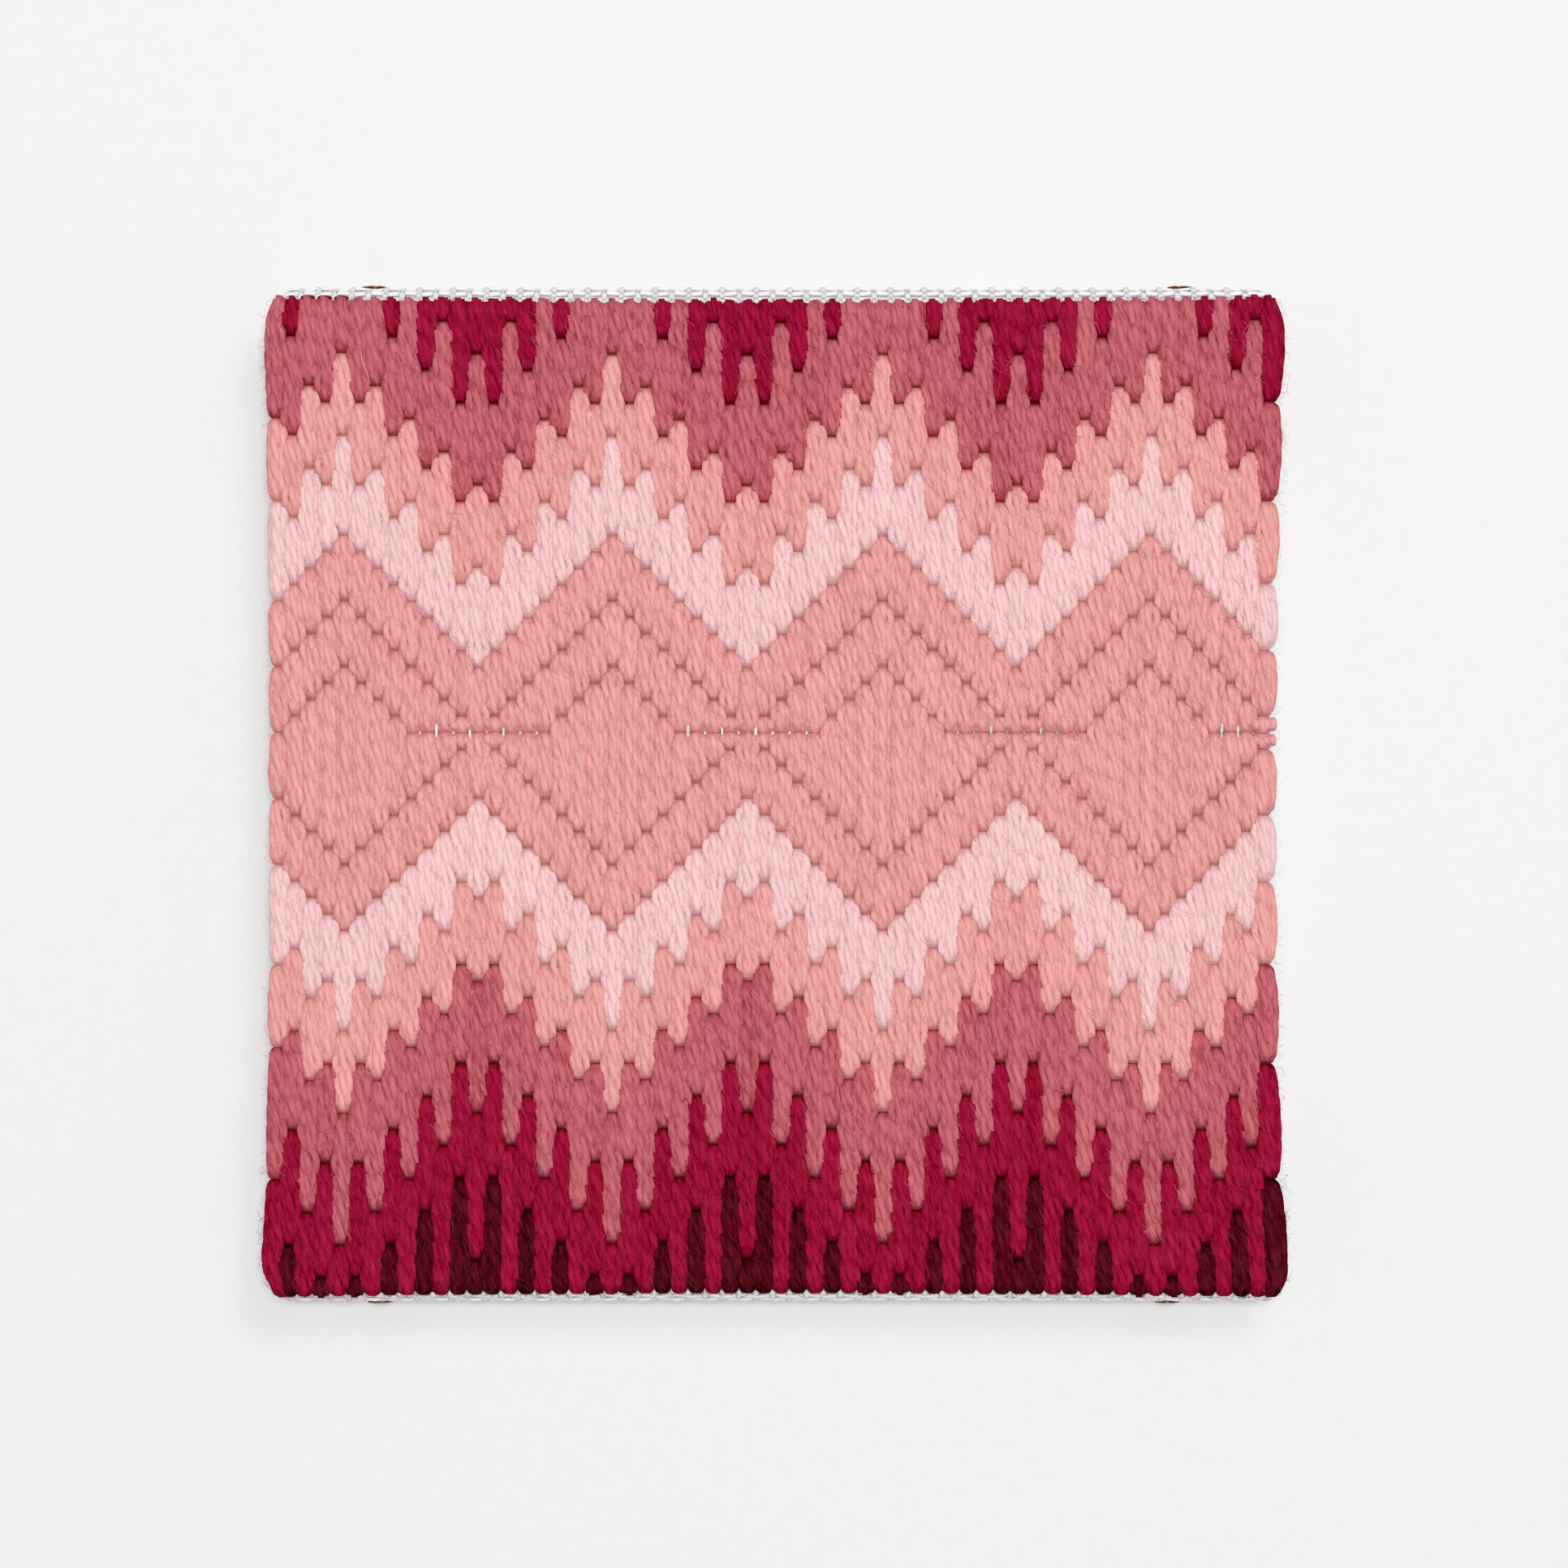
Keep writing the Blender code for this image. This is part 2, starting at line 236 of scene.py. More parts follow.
# Colours, linear
LIGHT_PINK = (0.815, 0.535, 0.54)
SALMON = (0.75, 0.346, 0.338)
PEACH = (0.755, 0.350, 0.335)
ROSE = (0.525, 0.131, 0.161)
CRIMSON = (0.33, 0.0055, 0.040)
MAROON = (0.094, 0.0021, 0.0088)
COTTON = (0.91, 0.865, 0.878)
PRIMED_WOOD = (
    (0.3, (0.82, 0.81, 0.80)),
    (0.5, (0.87, 0.865, 0.86)),
    (0.8, (0.90, 0.895, 0.89)),
)
COPPER = (
    (0.35, (0.12, 0.060, 0.035)),
    (0.55, (0.30, 0.14, 0.08)),
    (0.75, (0.46, 0.25, 0.16)),
)
COPPER_ROUGHNESS = ((0.3, (0.55, 0.55, 0.55)), (0.8, (0.32, 0.32, 0.32)))
PAPER = ((0.3, (0.780, 0.780, 0.778)), (0.7, (0.790, 0.790, 0.788)))
COTTON_SHADE = 0.88  # the share of its colour that is left where it is darkest

# How strongly light and dark show on each wool, and what makes them
RELIEF = {LIGHT_PINK: 0.42, SALMON: 0.85, PEACH: 0.75, ROSE: 1.3, CRIMSON: 1.35, MAROON: 1.5}
WOOL_MIDDLE = 0.53
FIBRE_WEIGHT = 0.64
BLOTCH_WEIGHT = 0.20
TONE_WEIGHT = 0.040
PAINTED_SHADE_WEIGHT = -0.15
# Where a wool gets painted shade, and how much, and where it is lighter, by what factor and
# what haze
PAINTED_SHADE_STOPS = ((0.10, 0.7), (0.32, 0.26))
LIGHTER_STOPS = ((0.72, 1.18, 0.006), (0.95, 1.50, 0.035))
DIMMING = 0.12  # how much darker all channels get with the painted shade's depth

# The pattern: each band's name, the boundaries it lies between, and its colour
BANDS = (
    ("wool_crimson_upper", 0, 1, CRIMSON),
    ("wool_rose_upper", 1, 2, ROSE),
    ("wool_peach_upper", 2, 3, PEACH),
    ("wool_pink_upper", 3, 4, LIGHT_PINK),
    ("wool_salmon_upper", 4, 5, SALMON),
    ("wool_salmon_upper_inner", 5, 6, SALMON),
    ("wool_diamonds", 6, 7, SALMON),
    ("wool_salmon_lower", 7, 8, SALMON),
    ("wool_pink_lower", 8, 9, LIGHT_PINK),
    ("wool_peach_lower", 9, 10, PEACH),
    ("wool_rose_lower", 10, 11, ROSE),
    ("wool_crimson_lower", 11, 12, CRIMSON),
    ("wool_maroon", 12, 13, MAROON),
)
REPEAT = 16  # columns
FIRST_PEAK = 4

# The photograph's frame
FRAME_WIDTH = 234.6 * MM
CAMERA_DISTANCE = 750.0 * MM
CAMERA_AIM = (1.3 * MM, 1.6 * MM)
FACE_HEIGHT = 14.9 * MM  # at which the frame has its width
SENSOR = 36.0
NEAREST = 10 * MM

# The light: each lamp's name, place and size in metres, and power
LAMPS = (("overhead", (0.04, 0.15, 2.0), 0.5, 25.0), ("key", (0.45, 0.75, 1.45), 0.6, 4.5))
WORLD_STRENGTH = 0.40
FLOOR_SIZE = 6.0

random = np.random.default_rng(1308)


# --- meshes of many tubes -----------------------------------------------------------------


class Tubes:
    """Collects tubes and makes one mesh of them."""

    def __init__(self):
        self.points = []
        self.quads = []
        self.caps = []
        self.tones = []
        self.painted_shades = []
        self.count = 0

    def add(
        self, line, across, half_width, half_height, section, twist=0.0, tone=0.0, depth=0.0
    ):
        """A tube along a line.

        across is its sideways direction. The sizes, and depth, which is how far down in the
        work it lies and sets its painted shade, may be one number or one for each point.
        """
        line = np.asarray(line, float)
        n = len(line)
        tangent = np.gradient(line, axis=0)
        tangent /= np.linalg.norm(tangent, axis=1, keepdims=True)
        up = np.cross(np.broadcast_to(across, (n, 3)), tangent)
        up /= np.linalg.norm(up, axis=1, keepdims=True)
        side = np.cross(tangent, up)
        share, painted_shade = np.array(section).T
        sides = len(share)
        angle = np.linspace(0, 2 * math.pi, sides, endpoint=False)[None, :]
        angle = angle + np.broadcast_to(twist, (n,))[:, None]
        wide = np.broadcast_to(half_width, (n,))[:, None] * share * np.cos(angle)
        high = np.broadcast_to(half_height, (n,))[:, None] * share * np.sin(angle)
        ring = line[:, None, :] + side[:, None, :] * wide[..., None]
        ring += up[:, None, :] * high[..., None]
        start = self.count + np.arange(n - 1)[:, None] * sides
        here = np.arange(sides)[None, :]
        there = (here + 1) % sides
        quads = np.stack(
            (start + sides + here, start + sides + there, start + there, start + here), axis=-1
        )
        self.points.append(ring.reshape(-1, 3))
        self.quads.append(quads.reshape(-1, 4))
        first = self.count + np.arange(sides)
        self.caps.append(first)
        self.caps.append((first + (n - 1) * sides)[::-1])
        self.tones.append(np.full(n * sides, tone))
        # painted shade: the section's shaded sides or the depth along the tube, whichever is
        # more
        painted_shade_values = np.maximum(painted_shade[None, :], np.broadcast_to(depth, (n,))[:, None])
        self.painted_shades.append(painted_shade_values.reshape(-1))
        self.count += n * sides

    def make(self, name, look):
        """The mesh of all the tubes, as an object."""
        points = np.concatenate(self.points)
        quads = np.concatenate(self.quads)
        corners = np.concatenate([quads.reshape(-1), *self.caps])
        cap_sizes = [len(cap) for cap in self.caps]
        sizes = np.concatenate([np.full(len(quads), 4), cap_sizes]).astype(np.int32)
        starts = np.concatenate([[0], np.cumsum(sizes)[:-1]]).astype(np.int32)
        mesh = bpy.data.meshes.new(name)
        mesh.vertices.add(len(points))
        mesh.vertices.foreach_set("co", points.astype(np.float32).reshape(-1))
        mesh.loops.add(len(corners))
        mesh.loops.foreach_set("vertex_index", corners.astype(np.int32))
        mesh.polygons.add(len(sizes))
        mesh.polygons.foreach_set("loop_start", starts)
        mesh.update(calc_edges=True)
        mesh.validate()
        mesh.shade_smooth()
        # the tone differs at random; the second value is painted shade, for where the wool lies
        # deep in the work
        for label, values in (("tone", self.tones), ("painted_shade", self.painted_shades)):
            layer = mesh.attributes.new(label, "FLOAT", "POINT")
            layer.data.foreach_set("value", np.concatenate(values).astype(np.float32))
        mesh.materials.append(look)
        made = bpy.data.objects.new(name, mesh)
        bpy.context.scene.collection.objects.link(made)
        return made


# --- the canvas's surface -----------------------------------------------------------------


MOST_OF_SIDE = 0.45  # what an arc may take of the side after it


def rounded(corners, radius, steps=6):
    """A polyline whose inner corners are turned into arcs."""
    corners = [np.asarray(corner, float) for corner in corners]
    line = [corners[0]]
    for before, corner, after in zip(corners, corners[1:], corners[2:]):
        back = (before - corner) / np.linalg.norm(before - corner)
        ahead = (after - corner) / np.linalg.norm(after - corner)
        half = math.acos(np.clip(back @ ahead, -1, 1)) / 2
        reach = min(radius / math.tan(half), MOST_OF_SIDE * np.linalg.norm(after - corner))
        middle = corner + (back + ahead) / np.linalg.norm(back + ahead) * reach / math.cos(half)
        start = corner + back * reach
        end = corner + ahead * reach
        for share in np.linspace(0, 1, steps):
            bow = start + (end - start) * share - middle
            length = np.linalg.norm(start - middle)
            line.append(middle + bow / np.linalg.norm(bow) * length)
    line.append(corners[-1])
    return np.array(line)


class Wrap:
    """The canvas's middle from the centre of the face over two opposite edges to the back.

    A place is the length of the path to it, positive over one edge and negative over the other.
    """

    def __init__(self, ahead, behind):
        self.lines = [rounded(corners, FOLD_RADIUS) for corners in (ahead, behind)]
        self.paths = []
        for line in self.lines:
            steps = np.linalg.norm(np.diff(line, axis=0), axis=1)
            self.paths.append(np.concatenate([[0], np.cumsum(steps)]))
        self.lengths = [path[-1] for path in self.paths]
        self.walls = [line[:, 0].max() for line in self.lines]

    def at(self, places):
        """How far across and how high the places are, and the normal there."""
        places = np.atleast_1d(np.asarray(places, float))
        step = 0.4 * MM
        found = np.empty((4, len(places)))
        for sign, line, path in zip((1, -1), self.lines, self.paths):
            on = (places >= 0) if sign > 0 else (places < 0)
            away = np.abs(places[on])
            ahead = np.minimum(away + step, path[-1])
            behind = np.maximum(away - step, 0)
            out, up = (np.interp(away, path, line[:, axis]) for axis in (0, 1))
            run, rise = (
                np.interp(ahead, path, line[:, axis]) - np.interp(behind, path, line[:, axis])
                for axis in (0, 1)
            )
            size = np.hypot(run, rise)
            found[:, on] = (sign * out, up, -sign * rise / size, run / size)
        return found


def sloped_wrap(reach, top, base, end):
    """The corners of the path over an edge whose slope stands out this far."""
    slope = math.hypot(reach, SLOPE_DEPTH)
    outward = SLOPE_DEPTH / slope
    upward = reach / slope
    offset = end - BOARD_HIGH[1]
    fold = BOARD_HIGH[1] - reach + offset * (1 - upward) / outward
    foot = BOARD_HIGH[2] - SLOPE_DEPTH + offset * (1 - outward) / upward
    return ((0, top), (fold, top), (end, foot), (end, base), (end - MARGIN, base))


def canvas_wraps():
    """The wraps over the sloped upper and lower edges, and over the straight sides."""
    top = CANVAS_HIGH[2] - CANVAS_INSET
    base = CANVAS_LOW[2] + CANVAS_INSET
    end = CANVAS_HIGH[1] - CANVAS_INSET
    side = CANVAS_HIGH[0] - CANVAS_INSET
    straight = ((0, top), (side, top), (side, base), (side - MARGIN, base))
    slopes = [sloped_wrap(reach, top, base, end) for reach in (UPPER_REACH, LOWER_REACH)]
    return Wrap(*slopes), Wrap(straight, straight)


ENDS, SIDES = canvas_wraps()


def column_place(column):
    """The path along X to the middle of a column of holes."""
    return (column - (COLUMNS - 1) / 2) * COLUMN_PITCH + COLUMN_SHIFT


def row_place(row):
    """The path along Y to a row of holes, from the top down."""
    return FIRST_ROW - row * ROW_PITCH


def drawn_in(x, y):
    """A point of the face, once the sides are drawn in by the pull of the mounting."""
    across = np.clip(x / FIELD_HALF_WIDTH, -1, 1)
    along = np.clip(y / FIELD_HALF_LENGTH, -1, 1)
    inward = np.where(x < 0, LEFT_DRAW_IN, RIGHT_DRAW_IN) * (1 - along**2)
    inward -= LOWER_FLARE * (y < 0) * along**LOWER_FLARE_POWER
    new_x = x - np.sign(x) * inward * across**2
    new_y = y - np.sign(y) * END_DRAW_IN * along**2 * (1 - across**2)
    return new_x, new_y


def corner_pull(x, y):
    """How far towards the middle the wool near a corner of the field is drawn."""
    pull = np.zeros(len(y))
    across = np.clip(1 - (FIELD_HALF_WIDTH - np.abs(x)) / CORNER_WIDTH, 0, 1)
    for (side, edge), (most, length) in CORNERS.items():
        end = UPPER_END_OF_WOOL if edge > 0 else LOWER_END_OF_WOOL
        along = np.clip(1 - (end - edge * y) / length, 0, 1)
        share = across**CORNER_POWER * (1 - np.sqrt(1 - along**2))
        pull += (x * side > 0) * side * most * share
    return pull


def on_face(across, path, level):
    """Points above the canvas's middle, across the columns and along the path."""
    y, z, normal_y, normal_z = ENDS.at(path)
    across = across - corner_pull(across, y)
    x, y = drawn_in(across, y)
    return np.stack((x, y + normal_y * level, z + normal_z * level), axis=1)


# --- materials ----------------------------------------------------------------------------


def new_material(name):
    look = bpy.data.materials.new(name)
    look.use_nodes = True
    nodes = look.node_tree.nodes
    return look, nodes, look.node_tree.links, nodes["Principled BSDF"]


def streaks(nodes, links, size, lean=0.0, shift=None, detail=3.0):
    """Noise whose grains have this size, leaning to the left going up."""
    place = nodes.new("ShaderNodeTexCoord").outputs["Object"]
    if shift is not None:
        moved = nodes.new("ShaderNodeVectorMath")
        moved.operation = "ADD"
        links.new(place, moved.inputs[0])
        links.new(shift, moved.inputs[1])
        place = moved.outputs["Vector"]
    turn = nodes.new("ShaderNodeMapping")
    turn.vector_type = "TEXTURE"
    turn.inputs["Rotation"].default_value = (0, 0, math.radians(lean))
    turn.inputs["Scale"].default_value = size
    noise = nodes.new("ShaderNodeTexNoise")
    noise.inputs["Scale"].default_value = 1.0
    noise.inputs["Detail"].default_value = detail
    links.new(place, turn.inputs["Vector"])
    links.new(turn.outputs["Vector"], noise.inputs["Vector"])
    return noise.outputs["Fac"]


def ramp(nodes, links, value, stops):
    """A colour for the value, between stops of (position, colour)."""
    node = nodes.new("ShaderNodeValToRGB")
    links.new(value, node.inputs["Fac"])
    elements = node.color_ramp.elements
    while len(elements) < len(stops):
        elements.new(0.5)
    for element, (position, color) in zip(elements, stops):
        element.position = position
        element.color = (*color, 1.0)
    return node.outputs["Color"]


def weighted(nodes, links, start, *terms):
    """start plus each value times its weight."""
    total = start
    for value, weight in terms:
        node = nodes.new("ShaderNodeMath")
        node.operation = "MULTIPLY_ADD"
        links.new(value, node.inputs[0])
        node.inputs[1].default_value = weight
        if isinstance(total, float):
            node.inputs[2].default_value = total
        else:
            links.new(total, node.inputs[2])
        total = node.outputs["Value"]
    return total


def attribute(nodes, name):
    node = nodes.new("ShaderNodeAttribute")
    node.attribute_name = name
    return node.outputs["Fac"]


def bumped(nodes, links, shader, height, strength, distance):
    bump = nodes.new("ShaderNodeBump")
    bump.inputs["Strength"].default_value = strength
    bump.inputs["Distance"].default_value = distance
    links.new(height, bump.inputs["Height"])
    links.new(bump.outputs["Normal"], shader.inputs["Normal"])


def painted_shade_color(color, depth):
    """Painted shade for a wool: darker and more saturated, as where light goes back and forth
    in it deep in the work.
    """
    return tuple(channel ** (1 + depth) * (1 - DIMMING * depth) for channel in color)


def lighter(color, factor, haze):
    """A lighter shade, as where loose fibres catch the light."""
    return tuple(min(1.0, channel * factor + haze) for channel in color)


def wool(name, color):
    look, nodes, links, shader = new_material(name)
    tone = attribute(nodes, "tone")
    fibres = streaks(nodes, links, (0.30 * MM, 2.2 * MM, 0.7 * MM), lean=20, shift=tone)
    blotches = streaks(nodes, links, (1.1 * MM, 4.5 * MM, 2.0 * MM), lean=12, detail=1.0)
    # painted shade: darker where the wool lies deep in the work and on the plies' undersides
    painted_shade = attribute(nodes, "painted_shade")
    relief = RELIEF[color]
    value = weighted(
        nodes,
        links,
        WOOL_MIDDLE - (FIBRE_WEIGHT + BLOTCH_WEIGHT) / 2 * relief,
        (fibres, FIBRE_WEIGHT * relief),
        (blotches, BLOTCH_WEIGHT * relief),
        (tone, TONE_WEIGHT),
        (painted_shade, PAINTED_SHADE_WEIGHT * relief),
    )
    stops = (
        *((place, painted_shade_color(color, depth * relief)) for place, depth in PAINTED_SHADE_STOPS),
        (0.50, color),
        *((place, lighter(color, factor, haze)) for place, factor, haze in LIGHTER_STOPS),
    )
    links.new(ramp(nodes, links, value, stops), shader.inputs["Base Color"])
    shader.inputs["Roughness"].default_value = 0.92
    shader.inputs["Specular IOR Level"].default_value = 0.03
    shader.inputs["Sheen Weight"].default_value = 0.12
    shader.inputs["Sheen Roughness"].default_value = 0.5
    shader.inputs["Sheen Tint"].default_value = (*color, 1.0)
    bumped(nodes, links, shader, fibres, 0.6, 0.08 * MM)
    return look


def cotton(name):
    look, nodes, links, shader = new_material(name)
    tone = attribute(nodes, "tone")
    fibres = streaks(nodes, links, (0.3 * MM, 0.3 * MM, 0.3 * MM))
    value = weighted(nodes, links, 0.0, (fibres, 1.0), (tone, 0.1))
    stops = ((0.25, tuple(channel * COTTON_SHADE for channel in COTTON)), (0.6, COTTON))
    links.new(ramp(nodes, links, value, stops), shader.inputs["Base Color"])
    shader.inputs["Roughness"].default_value = 0.8
    shader.inputs["Specular IOR Level"].default_value = 0.2
    shader.inputs["Subsurface Weight"].default_value = 0.6
    shader.inputs["Subsurface Radius"].default_value = (1.0, 0.95, 0.95)
    shader.inputs["Subsurface Scale"].default_value = 0.8 * MM
    bumped(nodes, links, shader, fibres, 0.4, 0.06 * MM)
    return look


def primed_wood(name):
    look, nodes, links, shader = new_material(name)
    grain = streaks(nodes, links, (16 * MM, 1.1 * MM, 1.1 * MM))
    links.new(ramp(nodes, links, grain, PRIMED_WOOD), shader.inputs["Base Color"])
    shader.inputs["Roughness"].default_value = 0.7
    bumped(nodes, links, shader, grain, 0.3, 0.1 * MM)
    return look


def coppered_steel(name):
    look, nodes, links, shader = new_material(name)
    wear = streaks(nodes, links, (1.1 * MM, 1.1 * MM, 1.1 * MM))
    links.new(ramp(nodes, links, wear, COPPER), shader.inputs["Base Color"])
    shader.inputs["Metallic"].default_value = 1.0
    links.new(ramp(nodes, links, wear, COPPER_ROUGHNESS), shader.inputs["Roughness"])
    return look


def paper(name):
    look, nodes, links, shader = new_material(name)
    grain = streaks(nodes, links, (2.5 * MM, 2.5 * MM, 2.5 * MM))
    links.new(ramp(nodes, links, grain, PAPER), shader.inputs["Base Color"])
    shader.inputs["Roughness"].default_value = 0.9
    shader.inputs["Specular IOR Level"].default_value = 0.1
    return look


# --- the wool -----------------------------------------------------------------------------


def boundaries(column):
    """The rows at which a column changes stitch, from the top edge to the bottom edge.

    They follow from k, which is how many columns away the nearest peak is.
    """
    place = (column - FIRST_PEAK) % REPEAT
    k = min(place, REPEAT - place)
    odd = k % 2
    rows = [0]
    rows.append(k - 1 if odd else k - 5)
    rows.append(k + 5 if odd else k + 3)
    rows.append(rows[2] + 5)
    rows.append(14 + k)
    rows.append(min(18 + k, MID_ROW))
    rows.append(min(22 + k, MID_ROW))
    rows.append(34 - k)
    rows.append(38 - k)
    rows.append((42 if odd else 44) - k)
    rows.append(rows[9] + 5)
    rows.append((53 if odd else 57) - k)
    rows.append((60 if odd else 66) - k)
    rows.append(ROWS)
    return [min(max(row, 0), ROWS) for row in rows]


def crowding(column, path):
    """How much room a neighbouring column leaves at its stitches' ends, from 0 to about 1."""
    if not 0 <= column < COLUMNS:
        return np.zeros(len(path))
    holes = row_place(np.unique(boundaries(column))[1:-1])
    near = (path[:, None] - holes[None, :]) / CROWDING_REACH
    return np.exp(-(near**2)).sum(axis=1)


# A strand's end: how many mm it is in from its hole, its height, spread and thickness there
# as shares of the full ones, and its depth, which sets the painted shade where it dives into
# the hole
UPPER_END = (
    (0.00, -0.02, 0.50, 0.42, 1.4),
    (0.28, 0.36, 0.70, 0.80, 0.9),
    (0.66, 0.80, 0.85, 0.97, 0.4),
    (1.35, 0.99, 0.97, 1.00, 0.0),
)
LOWER_END = (
    (0.00, -0.02, 0.48, 0.42, 1.9),
    (0.32, 0.32, 0.68, 0.80, 1.5),
    (0.76, 0.77, 0.88, 0.97, 0.8),
    (1.50, 0.97, 1.00, 1.00, 0.0),
)
# The bed's end: how many mm it is in, its height as a share of its level, its depth for the
# painted shade in the hole, its width as a share, and how far it is drawn in from the sides
# where the canvas is left bare
BED_END = (
    (0.00, 0.60, 2.2, 0.52, 0.4),
    (0.32, 0.85, 1.8, 0.84, 0.5),
    (0.85, 1.0, 1.2, 1.0, 0.2),
)
SHORTEST_FULL_ENDS = 3.6 * MM  # the ends of shorter stitches shrink with them


def stitch_profile(start, end, bulges):
    """Places along a strand as (path, height, spread, thickness, depth of the painted shade).
    """
    shrink = min(1.0, (start - end) / SHORTEST_FULL_ENDS)
    above, below = (bulge * (SHORT_BULGE + (1 - SHORT_BULGE) * shrink) for bulge in bulges)
    head = [(start + above - far * shrink * MM, *rest) for far, *rest in UPPER_END]
    tail = [(end - below + far * shrink * MM, *rest) for far, *rest in LOWER_END]
    first = head[-1][0]
    last = tail[-1][0]
    count = max(0, round((first - last) / ROW_PITCH * SAMPLES_PER_ROW) - 1)
    shares = [(i + 1) / (count + 1) for i in range(count)]
    middle = [(first + (last - first) * share, 1.0, 1.0, 1.0, 0.0) for share in shares]
    return np.array(head + middle + tail[::-1]).T


def strand_layout(column):
    """Each strand's offset across its column and its lift."""
    places = [(-STRAND_SPACING, -SIDE_STRAND_DROP), (0.0, SIDE_STRAND_DROP)]
    places.append((STRAND_SPACING, -SIDE_STRAND_DROP))
    if column == 0:
        places[0] = LEFT_STRAND
        places += LEFT_HANGING
    if column == COLUMNS - 1:
        places[2] = RIGHT_STRAND
        places += RIGHT_HANGING
    return places


def slow_noise(count, knots, size):
    """A wandering value along a strand."""
    places = np.linspace(0, count - 1, knots)
    return np.interp(np.arange(count), places, random.normal(0, size, knots))


def lightened(depth, path):
    """The depth of the painted shade, which is less by the middle row."""
    return depth * (1 - MID_LIGHTNESS * (np.abs(path - row_place(MID_ROW)) < ROW_PITCH))


def strand_profile(column, upper, lower, aside):
    """Places along a strand, with its ends as they are at this place in the field."""
    start = row_place(upper)
    end = row_place(lower)
    stray = MID_WANDER * math.sin(MID_WANDER_STEP * column)
    bulges = (
        {0: UPPER_BULGE, MID_ROW: MID_BULGE + stray}.get(upper, 0.0),
        {ROWS: LOWER_BULGE, MID_ROW: MID_BULGE - stray}.get(lower, 0.0),
    )
    head = aside * (EDGE_ROUNDING if upper == 0 else HEAD_ROUNDING)
    tail = aside * (EDGE_ROUNDING if lower == ROWS else TAIL_ROUNDING)
    path, height, spread, thick, depth = stitch_profile(start - head, end + tail, bulges)
    at_edge = (upper == 0) & (path > (start + end) / 2)
    at_edge |= (lower == ROWS) & (path < (start + end) / 2)
    spread = np.where(at_edge, 1 - (1 - spread) * EDGE_NARROWING, spread)
    thick = np.where(at_edge, 1 - (1 - thick) * EDGE_NARROWING, thick)
    return path, height, spread, thick, lightened(depth, path)


def add_strand(tubes, column, upper, lower, offset, lift, stitch_tone):
    """Two plies twisted round each other, at an offset across their column."""
    start = row_place(upper)
    end = row_place(lower)
    side = int(np.sign(offset))
    aside = min(1.0, (offset / STRAND_SPACING) ** 2)
    lift += random.normal(0, STRAND_UNEVENNESS)
    lift -= aside * LONG_STITCH_DROP * min(1.0, (lower - upper) / LONG_STITCH)
    path, height, spread, thick, depth = strand_profile(column, upper, lower, aside)
    n = len(path)
    knots = max(FEWEST_KNOTS, round((start - end) / ROW_PITCH))
    if abs(offset) > STRAND_SPACING:
        along = np.clip((start - path) / (start - end), 0, 1)
        swell = np.sin(math.pi * along) ** HANGING_FULLNESS
        spread = HANGING_SPREAD + (1 - HANGING_SPREAD) * swell
    shift = offset * spread + slow_noise(n, knots, WANDER) * spread
    if side:
        shift += side * CROWDING * crowding(column + side, path) * spread**2
    full = np.clip(height, 0, 1)
    apart = ENDS_APART + (1 - ENDS_APART) * full
    level = STRAND_LEVEL * height + (lift + slow_noise(n, knots, LEVEL_WANDER)) * full
    turns = -path / TWIST_LENGTH * (1 + random.normal(0, TWIST_UNEVENNESS))
    turns += random.uniform(0, 1)
    size = thick * (1 + random.normal(0, SIZE_UNEVENNESS))
    tone = stitch_tone + random.normal(0, STRAND_TONES)
    for ply in (0.0, 0.5):
        angle = 2 * math.pi * (turns + ply)
        reach = PLY_REACH * size * np.sin(angle) * apart
        if side:
            reach = np.where(reach * side > 0, OUTWARD_REACH * reach, reach)
        across = column_place(column) + shift + reach
        tubes.add(
            on_face(across, path, level + PLY_LIFT * size * np.cos(angle) * apart),
            (-1.0, 0.0, 0.0),
            PLY_HALF_WIDTH * size,
            PLY_HALF_HEIGHT * size,
            PLY,
            twist=SQUARE,
            tone=tone + random.normal(0, PLY_TONES),
            # painted shade at the ends in the holes and where the ply turns under the other
            depth=np.maximum(depth, PLY_SHADE * (1 - np.cos(angle)) / 2),
        )


def add_stitch(tubes, column, upper, lower):
    """A stitch between two rows of holes, with its strands, its bed and its hairs."""
    tone = random.normal(0, STITCH_TONES)
    for offset, lift in strand_layout(column):
        add_strand(tubes, column, upper, lower, offset, lift, tone)
    add_bed(tubes, column, upper, lower)
    add_hairs(tubes, column, row_place(upper), row_place(lower))


def bed_end(row, inward):
    """The bed's rings at one end, from the hole inwards."""
    far, height, depth, width, bare = np.array(BED_END).T
    if row in (0, ROWS):
        width = width - EDGE_BARENESS * bare
    return np.stack((row_place(row) + inward * far * MM, height, depth, width))


def add_bed(tubes, column, upper, lower):
    """The fibres under a stitch's strands, which hide the canvas between the columns."""
    head = bed_end(upper, -1)
    tail = bed_end(lower, 1)[:, ::-1]
    count = max(3, lower - upper)
    inside = np.linspace(head[0, -1], tail[0, 0], count)[1:-1]
    # the bed gets painted shade all along, as it lies under the strands
    middle = [np.full(len(inside), value) for value in (1.0, BED_SHADE_DEPTH, 1.0)]
    path, height, depth, width = np.hstack((head, np.stack((inside, *middle)), tail))
    across = column_place(column) + (BED_SHIFT if column == 0 else 0.0)
    tubes.add(
        on_face(across, path, BED_LEVEL * height),
        (-1.0, 0.0, 0.0),
        BED_HALF_WIDTH * width,
        BED_HALF_HEIGHT,
        FLAT_WOOL,
        twist=SQUARE,
        depth=lightened(depth, path),
    )


NUDGE = 1e-9  # gives an upright hair a direction across too


